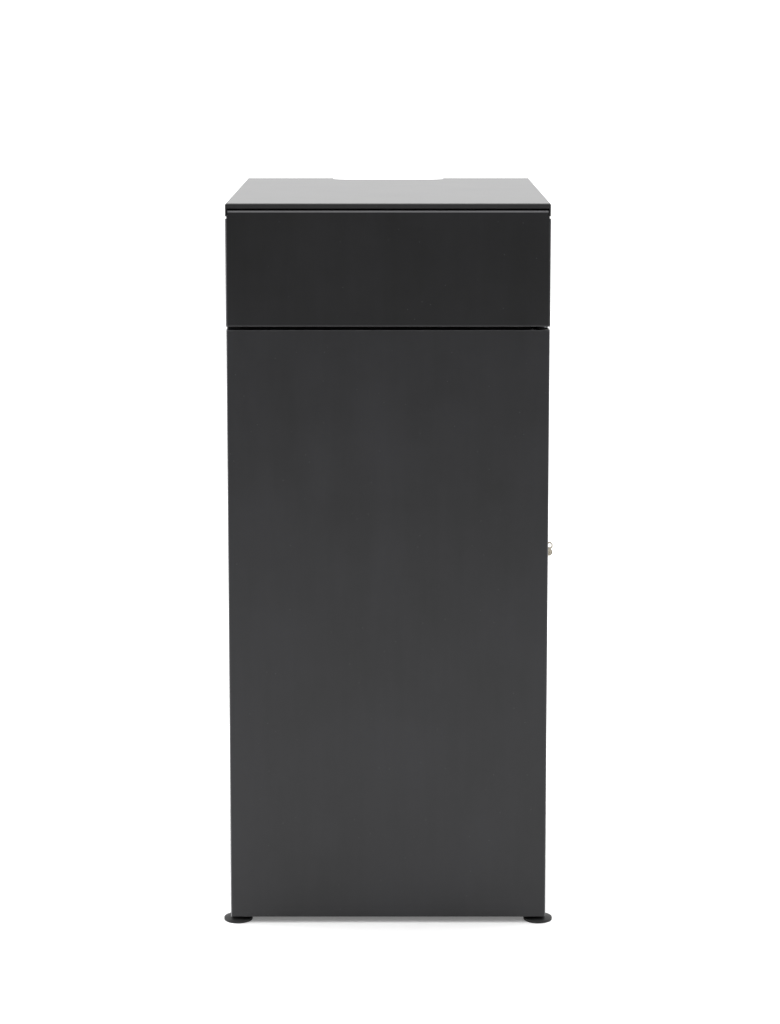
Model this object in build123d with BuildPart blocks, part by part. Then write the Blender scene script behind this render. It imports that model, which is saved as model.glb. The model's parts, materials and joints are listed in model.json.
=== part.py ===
from build123d import *
import os

# Free-standing book drop box in folded sheet steel, seen from the front along +Y.
# Origin: on the floor, under the middle of the cabinet. +X right, +Y to the back, +Z up. Millimetres.

os.makedirs("parts", exist_ok=True)

# --- driving dimensions -------------------------------------------------------------------
width = 450.0
depth = 600.0
height = 1030.0
sheet = 1.5            # panels and doors
plate = 2.0            # cap and base
fit_gap = 0.1          # two sheets lying on each other
bend = 2.5             # outside radius of a folded edge

half_w = width / 2
half_d = depth / 2
body_bottom = 8.5      # sheet metal starts this far above the floor
tray_height = 30.0
tray_top = body_bottom + tray_height

# front
pan_depth = 18.0       # front panel and flap are shallow pans laid over the body
panel_top = 854.0
flap_bottom = 858.5
flap_top = 1021.5
flap_bend = 5.5        # the flap turns about the centre of its own top bend
flap_axis_y = -half_d + flap_bend
flap_axis_z = flap_top - flap_bend
rivet_r = 2.4
plate_rivet_x = -half_w + 10
plate_rivet_heights = (874, 910, 946, 982)
shoulder_z = 1009.0    # the flap narrows above this to pass between the cap's skirts
shoulder_half_w = 221.8
body_front = -279.5    # front edges of the side walls
surround_y = body_front + sheet + fit_gap

# cap
cap_side_skirt = 18.0
cap_front_skirt = 7.0
cap_under = height - plate
wall_top = 1010.5
notch_width = 176.0
notch_depth = 42.0
notch_radius = 27.0

# side door on the right
door_depth = 16.0
door_front = -280.0
door_rear = 280.3
door_bottom = 43.0
door_top = 855.0
pivot_x = 217.0
pivot_y = -270.0
pivot_r = 4.0
bush_r = 5.8
sill_top = 41.0
header_bottom = 858.0
stile_x = 203.75       # outer face of the lips that the door closes against

# lock, near the free edge of the door
lock_y = 208.0
lock_z = 444.0
plug_r = 6.5
running_gap = 0.06     # radial clearance of a turning or sliding fit
cam_inner_x = 197.4
cam_thick = 2.5

# rear wall, set in to leave a cable channel
rear_wall_y = 252.0

# lifting platform
guide_x = 130.0
guide_y = 228.0
guide_r = 6.0
deck_top = 562.0
deck_left = -205.0
deck_right = 185.0
deck_front = -262.0
deck_rear = 198.0
bush_length = 50.0
bush_top = 590.0
spring_x = 165.0
spring_top = 824.0
spring_bottom = 592.0

# levelling feet
foot_x = 215.0
foot_y = 283.0
pad_r = 20.5
stem_r = 4.0


def box_at(x0, x1, y0, y1, z0, z1, mode=Mode.ADD):
    """A block between two opposite corners."""
    with Locations(((x0 + x1) / 2, (y0 + y1) / 2, (z0 + z1) / 2)):
        Box(x1 - x0, y1 - y0, z1 - z0, mode=mode)


def rod_z(x, y, z0, z1, radius, mode=Mode.ADD):
    """An upright round bar."""
    with Locations((x, y, (z0 + z1) / 2)):
        Cylinder(radius, z1 - z0, mode=mode)


def rod_x(x0, x1, y, z, radius, mode=Mode.ADD):
    """A round bar along X."""
    with Locations(Location(((x0 + x1) / 2, y, z), (0, 90, 0))):
        Cylinder(radius, x1 - x0, mode=mode)


def rod_y(x, y0, y1, z, radius, mode=Mode.ADD):
    """A round bar along Y."""
    with Locations(Location((x, (y0 + y1) / 2, z), (90, 0, 0))):
        Cylinder(radius, y1 - y0, mode=mode)


def write(piece, node):
    """Label one finished piece and write it as its own STEP file."""
    piece.part.label = node
    export_step(piece.part, f"parts/{node}.step")


# --- base tray: the floor of the cabinet, folded up on all four sides ---------------------
tray_x = half_w - sheet - fit_gap
tray_y = half_d - sheet - fit_gap
with BuildPart() as base_tray:
    box_at(-tray_x, tray_x, -tray_y, tray_y, body_bottom, tray_top)
    open_side = base_tray.faces().sort_by(Axis.Z)[-1]
    offset(amount=-plate, openings=open_side)
    for x in (-foot_x, foot_x):
        for y in (-foot_y, foot_y):
            rod_z(x, y, body_bottom - 1, body_bottom + plate + 1, stem_r + 0.3, Mode.SUBTRACT)
write(base_tray, "base_tray")

# --- left side wall: one folded sheet with returns on three sides -------------------------
return_depth = 18.0
with BuildPart() as left_side_panel:
    box_at(-half_w, -half_w + return_depth, body_front, half_d, body_bottom, wall_top)
    outer_edges = left_side_panel.faces().sort_by(Axis.X)[0].edges().filter_by(Axis.Z)
    fillet(outer_edges, bend)
    open_side = left_side_panel.faces().sort_by(Axis.X)[-1]
    offset(amount=-sheet, openings=open_side)
    # Below the top of the base tray only the outer skin goes on down.
    box_at(-half_w + sheet, 0, -half_d, half_d - sheet, 0, tray_top + 0.2, Mode.SUBTRACT)
    for z in plate_rivet_heights:
        rod_y(plate_rivet_x, body_front - 1, body_front + 3, z, rivet_r, Mode.SUBTRACT)
write(left_side_panel, "left_side_panel")

# --- front panel: a tall shallow pan laid over the front of the body ----------------------
with BuildPart() as front_panel:
    box_at(-half_w, half_w, -half_d, -half_d + pan_depth, body_bottom, panel_top)
    face_edges = front_panel.faces().sort_by(Axis.Y)[0].edges()
    fillet(face_edges, bend)
    open_side = front_panel.faces().sort_by(Axis.Y)[-1]
    offset(amount=-sheet, openings=open_side)
    # No return along the floor, so that the base tray can slide in behind the skin.
    box_at(-half_w + sheet, half_w - sheet, -half_d + sheet, 0, 0, tray_top, Mode.SUBTRACT)
write(front_panel, "front_panel")

# --- rear wall: stands forward of the back edges, with returns to the rear ----------------
rear_right_x = stile_x - sheet - fit_gap
with BuildPart() as rear_panel:
    box_at(-half_w + sheet + fit_gap, rear_right_x, rear_wall_y, rear_wall_y + 16,
           tray_top + 0.5, wall_top - sheet - 0.4)
    open_side = rear_panel.faces().sort_by(Axis.Y)[-1]
    offset(amount=-sheet, openings=open_side)
write(rear_panel, "rear_panel")

# --- right side: sill below the door, header panel above it -------------------------------
with BuildPart() as door_sill:
    box_at(half_w - 20, half_w, body_front, half_d, body_bottom, sill_top)
    top_edge = door_sill.faces().sort_by(Axis.X)[-1].edges().sort_by(Axis.Z)[-1]
    fillet(top_edge, bend)
    box_at(0, half_w - sheet, -half_d, half_d, 0, sill_top - sheet, Mode.SUBTRACT)
    rod_z(pivot_x, pivot_y, sill_top - 3, sill_top + 1, bush_r, Mode.SUBTRACT)
write(door_sill, "door_sill")

with BuildPart() as upper_right_panel:
    box_at(half_w - return_depth, half_w, body_front, half_d, header_bottom, wall_top)
    outer_edges = upper_right_panel.faces().sort_by(Axis.X)[-1].edges().filter_by(Axis.Z)
    fillet(outer_edges, bend)
    open_side = upper_right_panel.faces().sort_by(Axis.X)[0]
    offset(amount=-sheet, openings=open_side)
    rod_z(pivot_x, pivot_y, header_bottom - 1, header_bottom + 3, bush_r, Mode.SUBTRACT)
write(upper_right_panel, "upper_right_panel")

# --- right side: front stile, an angle behind the door's hinged edge ----------------------
stile_inner_x = 200.25
stile_outer_x = stile_inner_x + sheet
with BuildPart() as front_right_stile:
    with BuildSketch(Plane.XY.offset(sill_top - 2)):
        with Locations((stile_inner_x + sheet / 2, (-tray_y - 258) / 2 - 0.05)):
            Rectangle(sheet, tray_y - 258)
        with Locations((stile_inner_x - 10, -tray_y + sheet / 2)):
            Rectangle(20.5, sheet)
    extrude(amount=panel_top - sheet - sill_top + 1)
write(front_right_stile, "front_right_stile")

# --- right side: rear stile, folded so that its lip lies behind the door ------------------
lip_start = 232.0
jog_y = 282.0
with BuildPart() as rear_right_stile:
    with BuildSketch(Plane.XY.offset(sill_top + 0.5)):
        with Locations((stile_x - sheet / 2, (lip_start + jog_y + sheet) / 2)):
            Rectangle(sheet, jog_y + sheet - lip_start)
        with Locations(((stile_x + half_w) / 2, jog_y + sheet / 2)):
            Rectangle(half_w - stile_x, sheet)
        with Locations((half_w - sheet / 2, (jog_y + half_d) / 2)):
            Rectangle(sheet, half_d - jog_y)
        with Locations((half_w - 10, half_d - sheet / 2)):
            Rectangle(20, sheet)
    extrude(amount=header_bottom - sill_top - 1)
    corner = rear_right_stile.edges().filter_by(Axis.Z).sort_by(lambda e: -e.center().X - e.center().Y)
    fillet(corner[0], 1.4)
write(rear_right_stile, "rear_right_stile")

# --- top frame: an open channel run round the top, which carries the cap ------------------
frame_x = half_w - 4
frame_front = surround_y + sheet + 0.4
frame_rear = rear_wall_y - 2
frame_low = wall_top + 0.2
frame_high = cap_under - 0.1
channel = 20.0
cap_fixings = [(x, y) for x in (-frame_x + 12, frame_x - 12) for y in (-240, 0, 225)]
with BuildPart() as top_frame:
    box_at(-frame_x, frame_x, frame_front, frame_rear, frame_low, frame_high)
    box_at(-frame_x + channel, frame_x - channel, frame_front + channel, frame_rear - channel,
           frame_low - 1, frame_high + 1, Mode.SUBTRACT)
    box_at(-frame_x + plate, frame_x - plate, frame_front + plate, frame_rear - plate,
           frame_low + plate, frame_high - plate, Mode.SUBTRACT)
    for x, y in cap_fixings:
        rod_z(x, y, frame_high - plate - 1, frame_high + 1, 3.2, Mode.SUBTRACT)
write(top_frame, "top_frame")

# --- cap: a folded lid with a shallow front skirt and a cable notch at the back -----------
with BuildPart() as cap:
    box_at(-half_w, half_w, -half_d, half_d, height - cap_side_skirt, height)
    fillet(cap.faces().sort_by(Axis.Z)[-1].edges(), bend)
    box_at(-half_w + plate, half_w - plate, -half_d + plate, half_d - plate, 0, cap_under, Mode.SUBTRACT)
    # Front skirt stops short to let the flap turn; the side skirts go all the way down.
    box_at(-half_w + plate, half_w - plate, -half_d - 1, -half_d + plate,
           height - cap_side_skirt - 1, height - cap_front_skirt, Mode.SUBTRACT)
    box_at(-notch_width / 2, notch_width / 2, half_d - notch_depth, half_d + 1,
           height - cap_side_skirt - 1, height + 1, Mode.SUBTRACT)
    notch_corners = (
        cap.edges()
        .filter_by(Axis.Z)
        .filter_by_position(Axis.X, -notch_width / 2 - 0.5, notch_width / 2 + 0.5)
        .filter_by_position(Axis.Y, half_d - notch_depth - 0.5, half_d - notch_depth + 0.5)
    )
    fillet(notch_corners, notch_radius)
write(cap, "cap")

# --- studs under the cap, and the nuts that hold it down to the top frame -----------------
nut_low = frame_high - plate - 5
with BuildPart() as cap_studs:
    for x, y in cap_fixings:
        rod_z(x, y, nut_low - 2, cap_under, 3.0)
write(cap_studs, "cap_studs")

with BuildPart() as cap_nuts:
    for x, y in cap_fixings:
        with BuildSketch(Plane.XY.offset(nut_low)):
            with Locations((x, y)):
                RegularPolygon(4.9, 6, major_radius=False)
                Circle(3.02, mode=Mode.SUBTRACT)
        extrude(amount=5)
write(cap_nuts, "cap_nuts")

# --- surround of the book slot behind the flap: lintel, sill and two jambs, welded --------
slot_half_w = 178.0
slot_bottom = 868.0
slot_top = 985.0
chute_rivet_places = (-150, -50, 50, 150)
chute_rivet_z = slot_bottom - 5.5
surround_left = -half_w + 3
surround_right = stile_inner_x - 0.4
surround_low = 850.0
surround_high = wall_top - 2
surround_back = surround_y + sheet
with BuildPart() as slot_lintel:
    box_at(surround_left, surround_right, surround_y, surround_back, slot_top, surround_high)
write(slot_lintel, "slot_lintel")

with BuildPart() as slot_sill:
    box_at(surround_left, surround_right, surround_y, surround_back, surround_low, slot_bottom)
    for x in chute_rivet_places:
        rod_y(x, surround_y - 1, surround_back + 1, chute_rivet_z, rivet_r, Mode.SUBTRACT)
write(slot_sill, "slot_sill")

with BuildPart() as slot_jambs:
    box_at(surround_left, -slot_half_w, surround_y, surround_back, slot_bottom, slot_top)
    box_at(slot_half_w, surround_right, surround_y, surround_back, slot_bottom, slot_top)
    for z in plate_rivet_heights:
        rod_y(plate_rivet_x, surround_y - 1, surround_back + 1, z, rivet_r, Mode.SUBTRACT)
write(slot_jambs, "slot_jambs")

with BuildPart() as jamb_rivets:
    for z in plate_rivet_heights:
        rod_y(plate_rivet_x, body_front, surround_y + sheet, z, rivet_r)
        rod_y(plate_rivet_x, body_front - 1.2, body_front, z, rivet_r + 1.6)
write(jamb_rivets, "jamb_rivets")

# --- chute: a sloping tray that carries books from the slot down to the platform ----------
chute_front = surround_y + sheet + fit_gap
chute_back = -150.0
chute_low = 805.0
chute_half_w = 176.0
cheek = 55.0
with BuildPart() as entry_chute:
    with BuildSketch(Plane.YZ.offset(-chute_half_w)):
        with BuildLine():
            Polyline((chute_front, slot_bottom - 1), (chute_back, chute_low),
                     (chute_back, chute_low + cheek), (chute_front, slot_bottom - 1 + cheek), close=True)
        make_face()
    extrude(amount=2 * chute_half_w)
    ends = entry_chute.faces().sort_by(Axis.Y)
    lid = entry_chute.faces().sort_by(lambda face: face.normal_at().Z)[-1]
    offset(amount=-sheet, openings=[ends[0], ends[-1], lid])
    # Mounting flange down the back of the slot sill.
    box_at(-chute_half_w, chute_half_w, chute_front, chute_front + sheet,
           slot_bottom - 16, slot_bottom - 0.5)
    for x in chute_rivet_places:
        rod_y(x, chute_front - 1, chute_front + 3, chute_rivet_z, rivet_r, Mode.SUBTRACT)
write(entry_chute, "entry_chute")

with BuildPart() as chute_rivets:
    for x in chute_rivet_places:
        rod_y(x, surround_y, chute_front + sheet, chute_rivet_z, rivet_r)
        rod_y(x, surround_y - 1.2, surround_y, chute_rivet_z, rivet_r + 1.6)
write(chute_rivets, "chute_rivets")

# --- flap: a shallow pan that hangs from pins at its top bend -----------------------------
with BuildPart() as flap:
    box_at(-half_w - 0.25, half_w + 0.25, -half_d, -half_d + pan_depth, flap_bottom, flap_top)
    face_edges = flap.faces().sort_by(Axis.Y)[0].edges()
    top_edge = face_edges.sort_by(Axis.Z)[-1]
    fillet(top_edge, flap_bend)
    front_edges = flap.faces().sort_by(Axis.Y)[0].edges().sort_by(Axis.Z)[:1]
    fillet(front_edges, bend)
    open_side = flap.faces().sort_by(Axis.Y)[-1]
    offset(amount=-sheet, openings=open_side)
    for side in (-1, 1):
        inner = side * shoulder_half_w
        outer = side * (half_w + 5)
        box_at(min(inner, outer), max(inner, outer), -half_d - 1, 0, shoulder_z, height, Mode.SUBTRACT)
        box_at(min(inner, outer), max(inner, outer), -half_d + sheet, 0, 1000, height, Mode.SUBTRACT)
    # Top and bottom returns are shorter than the sides, so they pass the body as the flap turns.
    box_at(-half_w + 2, half_w - 2, -half_d + 15, 0, flap_bottom - 1, flap_top + 1, Mode.SUBTRACT)
write(flap, "flap")

# --- flap hinge: ears inside the flap with fixed pins, in brackets on the lintel ----------
bracket_x = 190.0
bracket_thick = 3.0
ear_x = 195.5
ear_thick = 2.0
flap_pin_r = 2.0
arm = 3.0
bracket_low = 986.0
bracket_high = 1001.0
bracket_back = surround_y - 0.05
with BuildPart() as flap_brackets:
    for side in (-1, 1):
        x0 = side * (bracket_x + bracket_thick / 2) - bracket_thick / 2
        with BuildSketch(Plane.YZ.offset(x0)):
            with BuildLine():
                Polyline((flap_axis_y - arm, flap_axis_z), (flap_axis_y - arm, bracket_low),
                         (bracket_back, bracket_low), (bracket_back, bracket_high),
                         (flap_axis_y + arm, bracket_high), (flap_axis_y + arm, flap_axis_z))
                ThreePointArc((flap_axis_y + arm, flap_axis_z), (flap_axis_y, flap_axis_z + arm),
                              (flap_axis_y - arm, flap_axis_z))
            make_face()
        extrude(amount=bracket_thick)
        foot_x0 = side * (bracket_x - 8)
        box_at(min(foot_x0, side * bracket_x), max(foot_x0, side * bracket_x),
               bracket_back - 2, bracket_back, bracket_low, bracket_high)
    rod_x(-half_w, half_w, flap_axis_y, flap_axis_z, flap_pin_r + running_gap, Mode.SUBTRACT)
write(flap_brackets, "flap_brackets")

with BuildPart() as flap_ears:
    for side in (-1, 1):
        x0 = side * (ear_x + ear_thick / 2) - ear_thick / 2
        with BuildSketch(Plane.YZ.offset(x0)):
            with BuildLine():
                Polyline((-half_d + sheet, flap_axis_z), (-half_d + sheet, 980), (-half_d + 14, 990),
                         (flap_axis_y + 4, flap_axis_z))
                ThreePointArc((flap_axis_y + 4, flap_axis_z), (flap_axis_y, flap_axis_z + 4),
                              (-half_d + sheet, flap_axis_z))
            make_face()
        extrude(amount=ear_thick)
    rod_x(-half_w, half_w, flap_axis_y, flap_axis_z, flap_pin_r, Mode.SUBTRACT)
write(flap_ears, "flap_ears")

with BuildPart() as flap_hinge_pins:
    for side in (-1, 1):
        ends = sorted((side * (bracket_x - 1.5), side * (ear_x + ear_thick)))
        rod_x(ends[0], ends[1], flap_axis_y, flap_axis_z, flap_pin_r)
write(flap_hinge_pins, "flap_hinge_pins")

with BuildPart() as flap_stiffener:
    box_at(-170, 170, -half_d + sheet, -half_d + 12, 925, 955)
    open_side = flap_stiffener.faces().sort_by(Axis.Y)[0]
    offset(amount=-sheet, openings=open_side)
write(flap_stiffener, "flap_stiffener")

with BuildPart() as flap_bumpers:
    for x in (-200, 190):
        rod_y(x, -half_d + 15.4, surround_y - 0.05, flap_bottom + 2.5, 5)
write(flap_bumpers, "flap_bumpers")

# --- side door: a pan with returns on all four sides, hinged along its front edge ---------
door_back_x = half_w - door_depth
with BuildPart() as door_panel:
    box_at(door_back_x, half_w, door_front, door_rear, door_bottom, door_top)
    face_edges = door_panel.faces().sort_by(Axis.X)[-1].edges()
    fillet(face_edges, 3)
    open_side = door_panel.faces().sort_by(Axis.X)[0]
    offset(amount=-sheet, openings=open_side)
    rod_z(pivot_x, pivot_y, door_bottom - 1, door_top + 1, pivot_r + 0.02, Mode.SUBTRACT)
    rod_x(half_w - 5, half_w + 5, lock_y, lock_z, 9.05, Mode.SUBTRACT)
write(door_panel, "door_panel")

with BuildPart() as door_stiffeners:
    for y in (-120, 90):
        box_at(door_back_x + 2, half_w - sheet, y - 20, y + 20, door_bottom + 20, door_top - 20)
    for y in (-120, 90):
        box_at(door_back_x + 2 + sheet, half_w, y - 20 + sheet, y + 20 - sheet,
               door_bottom + 10, door_top - 10, Mode.SUBTRACT)
write(door_stiffeners, "door_stiffeners")

with BuildPart() as door_pivot_pins:
    rod_z(pivot_x, pivot_y, sill_top - 6, door_bottom + 14, pivot_r)
    rod_z(pivot_x, pivot_y, door_top - 14, header_bottom + 8, pivot_r)
write(door_pivot_pins, "door_pivot_pins")

bush_flange = 1.4
bush_flange_r = 6.3
with BuildPart() as door_pivot_bushes:
    rod_z(pivot_x, pivot_y, sill_top, sill_top + bush_flange, bush_flange_r)
    rod_z(pivot_x, pivot_y, sill_top - 2.2, sill_top, bush_r)
    rod_z(pivot_x, pivot_y, header_bottom - bush_flange, header_bottom, bush_flange_r)
    rod_z(pivot_x, pivot_y, header_bottom, header_bottom + 3, bush_r)
    rod_z(pivot_x, pivot_y, 0, height, pivot_r + running_gap, Mode.SUBTRACT)
write(door_pivot_bushes, "door_pivot_bushes")

with BuildPart() as door_buffers:
    for z in (120, 780):
        rod_x(stile_x, door_back_x - 0.3, 275, z, 4.5)
write(door_buffers, "door_buffers")

# --- cam lock: housing and nut in the door, plug with its cam, screw and key --------------
housing_r = 9.0
housing_inner_x = 204.5
rim_x = half_w + 3
with BuildPart() as lock_housing:
    rod_x(housing_inner_x, half_w, lock_y, lock_z, housing_r)
    rod_x(half_w, rim_x, lock_y, lock_z, 11.5)
    rim_edge = lock_housing.faces().sort_by(Axis.X)[-1].edges()
    fillet(rim_edge, 1.2)
    rod_x(housing_inner_x - 1, rim_x + 1, lock_y, lock_z, plug_r + running_gap, Mode.SUBTRACT)
write(lock_housing, "lock_housing")

with BuildPart() as lock_nut:
    with BuildSketch(Plane.YZ.offset(half_w - sheet - 5.5)):
        with Locations((lock_y, lock_z)):
            RegularPolygon(12, 6, major_radius=False)
            Circle(housing_r + 0.02, mode=Mode.SUBTRACT)
    extrude(amount=5.5)
write(lock_nut, "lock_nut")

plug_inner_x = cam_inner_x + cam_thick
plug_face_x = rim_x + 0.6
slot_floor_x = plug_face_x - 20
with BuildPart() as lock_plug:
    rod_x(plug_inner_x, plug_face_x, lock_y, lock_z, plug_r)
    box_at(slot_floor_x, plug_face_x + 1, lock_y - 1.2, lock_y + 1.2,
           lock_z - 4.2, lock_z + 4.2, Mode.SUBTRACT)
    rod_x(plug_inner_x - 1, slot_floor_x - 6, lock_y, lock_z, 2.5, Mode.SUBTRACT)
write(lock_plug, "lock_plug")

cam_length = 37.0
with BuildPart() as lock_cam:
    with BuildSketch(Plane.YZ.offset(cam_inner_x)):
        with Locations((lock_y, lock_z + (cam_length - 8) / 2)):
            Rectangle(16, cam_length + 8)
        with Locations((lock_y, lock_z)):
            Circle(2.52, mode=Mode.SUBTRACT)
    extrude(amount=cam_thick)
    fillet(lock_cam.edges().filter_by(Axis.X).filter_by_position(Axis.Z, lock_z - 9, lock_z + 45), 2)
write(lock_cam, "lock_cam")

with BuildPart() as cam_screw:
    rod_x(cam_inner_x - 4, cam_inner_x, lock_y, lock_z, 5)
    rod_x(cam_inner_x, slot_floor_x - 7, lock_y, lock_z, 2.46)
write(cam_screw, "cam_screw")

key_thick = 2.2
bow_x = 256.3
ring_hole_dx = 1.2
ring_hole_dz = 5.8
ring_hole_r = 3.2
with BuildPart() as key:
    with BuildSketch(Plane.XZ.offset(-lock_y - key_thick / 2)):
        with Locations(((slot_floor_x + 1 + 240) / 2, lock_z)):
            Rectangle(240 - slot_floor_x - 1, 8)
        with Locations((243, lock_z)):
            Rectangle(14, 12)
        with Locations((bow_x + 0.5, lock_z + 5.6), (bow_x, lock_z - 5.2)):
            Circle(5.9)
        with Locations((248, lock_z)):
            Rectangle(12, 15)
        with Locations((bow_x + ring_hole_dx, lock_z + ring_hole_dz)):
            Circle(ring_hole_r, mode=Mode.SUBTRACT)
    extrude(amount=key_thick)
write(key, "key")

strike_x = stile_x - sheet - 0.05
with BuildPart() as strike_plate:
    box_at(strike_x - 2, strike_x, lip_start - 1, lip_start + 18, lock_z - 22, lock_z + 22)
write(strike_plate, "strike_plate")

# --- guide rods on the rear wall, with clamps and rubber stops ----------------------------
with BuildPart() as guide_rods:
    for side in (-1, 1):
        rod_z(side * guide_x, guide_y, 58, 846, guide_r)
write(guide_rods, "guide_rods")

with BuildPart() as rod_clamps:
    for side in (-1, 1):
        for z in (62, 830):
            x = side * guide_x
            box_at(x - 14, x + 14, guide_y - 13, rear_wall_y - 0.05, z, z + 14)
            rod_z(x, guide_y, z - 1, z + 15, guide_r + 0.02, Mode.SUBTRACT)
write(rod_clamps, "rod_clamps")

with BuildPart() as stop_rings:
    for side in (-1, 1):
        rod_z(side * guide_x, guide_y, bush_top + 0.3, bush_top + 10, 10)
        rod_z(side * guide_x, guide_y, bush_top - 1, bush_top + 11, guide_r + 0.02, Mode.SUBTRACT)
write(stop_rings, "stop_rings")

# --- lifting platform: deck, mat, side beams, carriers with bushes ------------------------
with BuildPart() as platform_deck:
    box_at(deck_left, deck_right, deck_front, deck_rear, deck_top - 26, deck_top)
    fillet(platform_deck.edges().filter_by(Axis.Z), 8)
    open_side = platform_deck.faces().sort_by(Axis.Z)[0]
    offset(amount=-sheet, openings=open_side)
write(platform_deck, "platform_deck")

rib_pitch = 24.0
mat_thick = 3.0
with BuildPart() as platform_mat:
    box_at(deck_left + 12, deck_right - 12, deck_front + 12, deck_rear - 12, deck_top, deck_top + mat_thick)
    ribs = int((deck_rear - deck_front - 24) / rib_pitch)
    for i in range(ribs):
        y = deck_front + 12 + (i + 0.5) * rib_pitch
        box_at(deck_left + 16, deck_right - 16, y - 3, y + 3,
               deck_top + mat_thick, deck_top + mat_thick + 1.5)
write(platform_mat, "platform_mat")

beam_low = deck_top - 24
with BuildPart() as platform_beams:
    for x in (-guide_x, guide_x):
        box_at(x - 12, x + 12, deck_front + 4, deck_rear - sheet, beam_low, deck_top - sheet)
        box_at(x - 12 + sheet, x + 12 - sheet, deck_front + 3, deck_rear, beam_low - 1, deck_top - 2 * sheet,
               Mode.SUBTRACT)
write(platform_beams, "platform_beams")

bush_outer = 11.0
bush_low = bush_top - bush_length
with BuildPart() as slider_bushes:
    for side in (-1, 1):
        rod_z(side * guide_x, guide_y, bush_low, bush_top, bush_outer)
        rod_z(side * guide_x, guide_y, bush_low - 1, bush_top + 1, guide_r + running_gap, Mode.SUBTRACT)
write(slider_bushes, "slider_bushes")

# Each carrier is a bracket on the deck's rear edge that grips one bush and one spring end.
carrier_low = deck_top - 18
carrier_high = deck_top - 6
with BuildPart() as bush_carriers:
    for side in (-1, 1):
        low, high = sorted((side * (guide_x - 16), side * (spring_x + 10)))
        box_at(low, high, deck_rear + 0.05, guide_y + 14, carrier_low, carrier_high)
        rod_z(side * guide_x, guide_y, carrier_low - 1, carrier_high + 1, bush_outer + 0.02, Mode.SUBTRACT)
write(bush_carriers, "bush_carriers")

with BuildPart() as spring_hooks:
    for side in (-1, 1):
        rod_z(side * spring_x, guide_y, carrier_high, spring_bottom - 0.3, 3)
write(spring_hooks, "spring_hooks")

with BuildPart() as spring_anchors:
    for side in (-1, 1):
        x = side * spring_x
        box_at(x - 10, x + 10, guide_y - 8, rear_wall_y - 0.05, spring_top + 6, spring_top + 14)
        rod_z(x, guide_y, spring_top + 0.3, spring_top + 6, 3)
write(spring_anchors, "spring_anchors")

with BuildPart() as lift_springs:
    for side in (-1, 1):
        rod_z(side * spring_x, guide_y, spring_bottom, spring_top, 8)
        rod_z(side * spring_x, guide_y, spring_bottom - 1, spring_top + 1, 6, Mode.SUBTRACT)
write(lift_springs, "lift_springs")

# --- feet: glide pads on threaded stems, in insert nuts on the base tray ------------------
with BuildPart() as foot_nuts:
    for x in (-foot_x, foot_x):
        for y in (-foot_y, foot_y):
            with BuildSketch(Plane.XY.offset(body_bottom + plate)):
                with Locations((x, y)):
                    RegularPolygon(6.2, 6, major_radius=False, rotation=30)
                    Circle(stem_r + running_gap, mode=Mode.SUBTRACT)
            extrude(amount=12)
write(foot_nuts, "foot_nuts")

rim_height = 4.3
pad_top = 7.2
pad_names = {(-1, -1): "front_left", (1, -1): "front_right", (-1, 1): "rear_left", (1, 1): "rear_right"}
for (side, end), place in pad_names.items():
    x = side * foot_x
    y = end * foot_y
    with BuildPart() as pad:
        with BuildSketch(Plane.XZ.offset(-y)):
            with BuildLine():
                Polyline((x, 0), (x + pad_r - 0.8, 0), (x + pad_r, 0.8), (x + pad_r, rim_height - 1.4))
                ThreePointArc((x + pad_r, rim_height - 1.4), (x + pad_r - 0.45, rim_height - 0.4),
                              (x + pad_r - 1.5, rim_height))
                Polyline((x + pad_r - 1.5, rim_height), (x + 8, pad_top), (x + stem_r, pad_top),
                         (x + stem_r, 3), (x, 3), (x, 0))
            make_face()
        revolve(axis=Axis((x, y, 0), (0, 0, 1)))
    write(pad, f"foot_pad_{place}")
    with BuildPart() as stem:
        rod_z(x, y, 3, 36, stem_r)
        fillet(stem.faces().sort_by(Axis.Z)[-1].edges(), 0.8)
    write(stem, f"foot_stem_{place}")
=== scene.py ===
# %% [markdown]
# # A book drop box in folded sheet steel
#
# A library's return cabinet: a tall front panel, a flap that lifts outwards, a flat cap, and a
# locked side door. Nearly all of it is thin sheet steel, folded along its edges and powder coated.
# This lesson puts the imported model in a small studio, rebuilds the folded sheets that the eye
# rests on with soft bends, and gives each piece the surface of its real material.

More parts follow.
